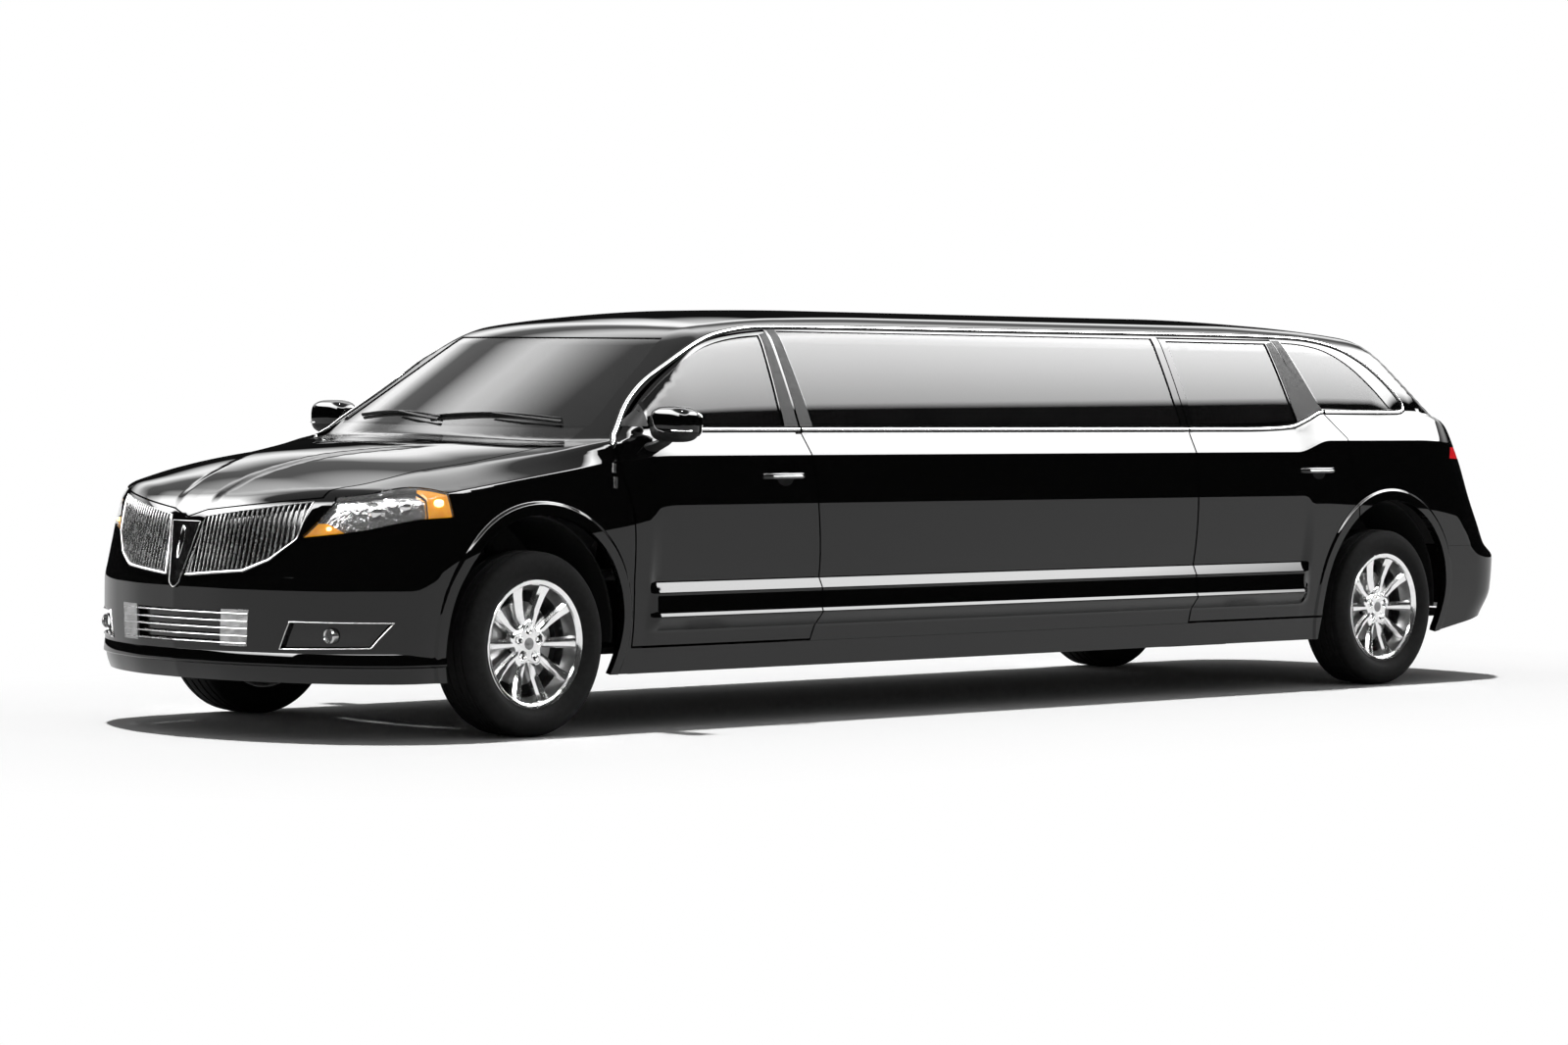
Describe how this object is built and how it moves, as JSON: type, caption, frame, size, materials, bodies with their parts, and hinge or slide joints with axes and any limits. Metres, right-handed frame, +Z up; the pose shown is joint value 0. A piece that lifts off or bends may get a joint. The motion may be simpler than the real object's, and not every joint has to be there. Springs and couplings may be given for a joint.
{
  "type": "stretch limousine",
  "caption": "Long black stretch limousine with rolling, steering wheels, opening side doors, hood and tailgate, hollow furnished cabin.",
  "frame": {"origin": "on the ground, at the middle of the car's length and width", "axes": "+X forward, +Y to the car's left, +Z up"},
  "size_m": [7.815, 2.325, 1.7298],
  "materials": {
    "body_paint": "deep gloss black paint",
    "black_trim": "grained black plastic",
    "tinted_glass": "dark tinted glass",
    "clear_glass": "laminated glass, faint green",
    "chrome": "bright chrome",
    "wheel_chrome": "bright plated alloy",
    "tyre": "black rubber",
    "red_lens": "red lens",
    "clear_lens": "clear lens over bright reflector",
    "underbody": "satin black underbody coat",
    "cast_metal": "rough casting",
    "bare_steel": "dull steel",
    "dash_trim": "soft grained plastic",
    "seat_leather": "black leather",
    "bar_lacquer": "dark lacquered wood"
  },
  "bodies": {
    "body": {"front_bumper": "body_paint", "front_fenders": "body_paint", "cowl": "black_trim", "sills": "body_paint", "stretch_walls": "body_paint", "rear_bumper": "body_paint", "rear_quarters": "body_paint", "corner_lamps": "red_lens", "roof_and_pillars": "body_paint", "windscreen": "clear_glass", "side_windows": "tinted_glass", "headlamps": "clear_lens", "grille": "chrome", "lower_grille": "chrome", "fog_lamps": "black_trim", "floor_pan": "underbody", "bulkhead": "underbody", "wheelhouse_liners": "black_trim", "front_frame": "underbody", "engine_block": "cast_metal", "rear_axle": "underbody", "fuel_tank": "black_trim", "exhaust": "bare_steel", "dashboard": "dash_trim", "steering_wheel": "dash_trim", "front_seats": "seat_leather", "partition": "dash_trim", "lounge_seats": "seat_leather", "bar_cabinet": "bar_lacquer"},
    "hood": {"hood": "body_paint"},
    "tailgate": {"tailgate": "body_paint", "tailgate_glass": "tinted_glass", "tail_lamps": "red_lens"},
    "front_door_left": {"front_door_left": "body_paint", "front_door_glass_left": "tinted_glass", "mirror_left": "body_paint"},
    "rear_door_left": {"rear_door_left": "body_paint", "rear_door_glass_left": "tinted_glass"},
    "knuckle_left": {"knuckle_left": "cast_metal"},
    "front_door_right": {"front_door_right": "body_paint", "front_door_glass_right": "tinted_glass", "mirror_right": "body_paint"},
    "rear_door_right": {"rear_door_right": "body_paint", "rear_door_glass_right": "tinted_glass"},
    "knuckle_right": {"knuckle_right": "cast_metal"},
    "wheel_front_left": {"rim_front_left": "wheel_chrome", "tyre_front_left": "tyre"},
    "wheel_front_right": {"rim_front_right": "wheel_chrome", "tyre_front_right": "tyre"},
    "wheel_rear_left": {"rim_rear_left": "wheel_chrome", "tyre_rear_left": "tyre"},
    "wheel_rear_right": {"rim_rear_right": "wheel_chrome", "tyre_rear_right": "tyre"}
  },
  "joints": [
    {"name": "steer_left", "type": "hinge", "parent": "body", "child": "knuckle_left", "pos_m": [2.8275, 0.741, 0.3705], "axis": [0, -0.236, 0.9718], "range_deg": [-35, 35]},
    {"name": "steer_right", "type": "hinge", "parent": "body", "child": "knuckle_right", "pos_m": [2.8275, -0.741, 0.3705], "axis": [0, 0.236, 0.9718], "range_deg": [-35, 35]},
    {"name": "roll_front_left", "type": "hinge", "parent": "knuckle_left", "child": "wheel_front_left", "pos_m": [2.8275, 0.83, 0.3705], "axis": [0, 1, 0], "continuous": true},
    {"name": "roll_front_right", "type": "hinge", "parent": "knuckle_right", "child": "wheel_front_right", "pos_m": [2.8275, -0.83, 0.3705], "axis": [0, 1, 0], "continuous": true},
    {"name": "roll_rear_left", "type": "hinge", "parent": "body", "child": "wheel_rear_left", "pos_m": [-2.7075, 0.83, 0.3705], "axis": [0, 1, 0], "continuous": true},
    {"name": "roll_rear_right", "type": "hinge", "parent": "body", "child": "wheel_rear_right", "pos_m": [-2.7075, -0.83, 0.3705], "axis": [0, 1, 0], "continuous": true},
    {"name": "open_front_door_left", "type": "hinge", "parent": "body", "child": "front_door_left", "pos_m": [2.2615, 0.938, 0.75], "axis": [0, 0, -1], "range_deg": [0, 65]},
    {"name": "open_front_door_right", "type": "hinge", "parent": "body", "child": "front_door_right", "pos_m": [2.2615, -0.938, 0.75], "axis": [0, 0, 1], "range_deg": [0, 65]},
    {"name": "open_rear_door_left", "type": "hinge", "parent": "body", "child": "rear_door_left", "pos_m": [-1.3175, 0.938, 0.75], "axis": [0, 0, -1], "range_deg": [0, 65]},
    {"name": "open_rear_door_right", "type": "hinge", "parent": "body", "child": "rear_door_right", "pos_m": [-1.3175, -0.938, 0.75], "axis": [0, 0, 1], "range_deg": [0, 65]},
    {"name": "open_hood", "type": "hinge", "parent": "body", "child": "hood", "pos_m": [2.5675, 0, 1.142], "axis": [0, -1, 0], "range_deg": [0, 55]},
    {"name": "open_tailgate", "type": "hinge", "parent": "body", "child": "tailgate", "pos_m": [-2.9475, 0, 1.606], "axis": [0, 1, 0], "range_deg": [0, 80]}
  ],
  "couplings": [
    {"joint": "steer_right", "follows": "steer_left", "ratio": 1}
  ]
}
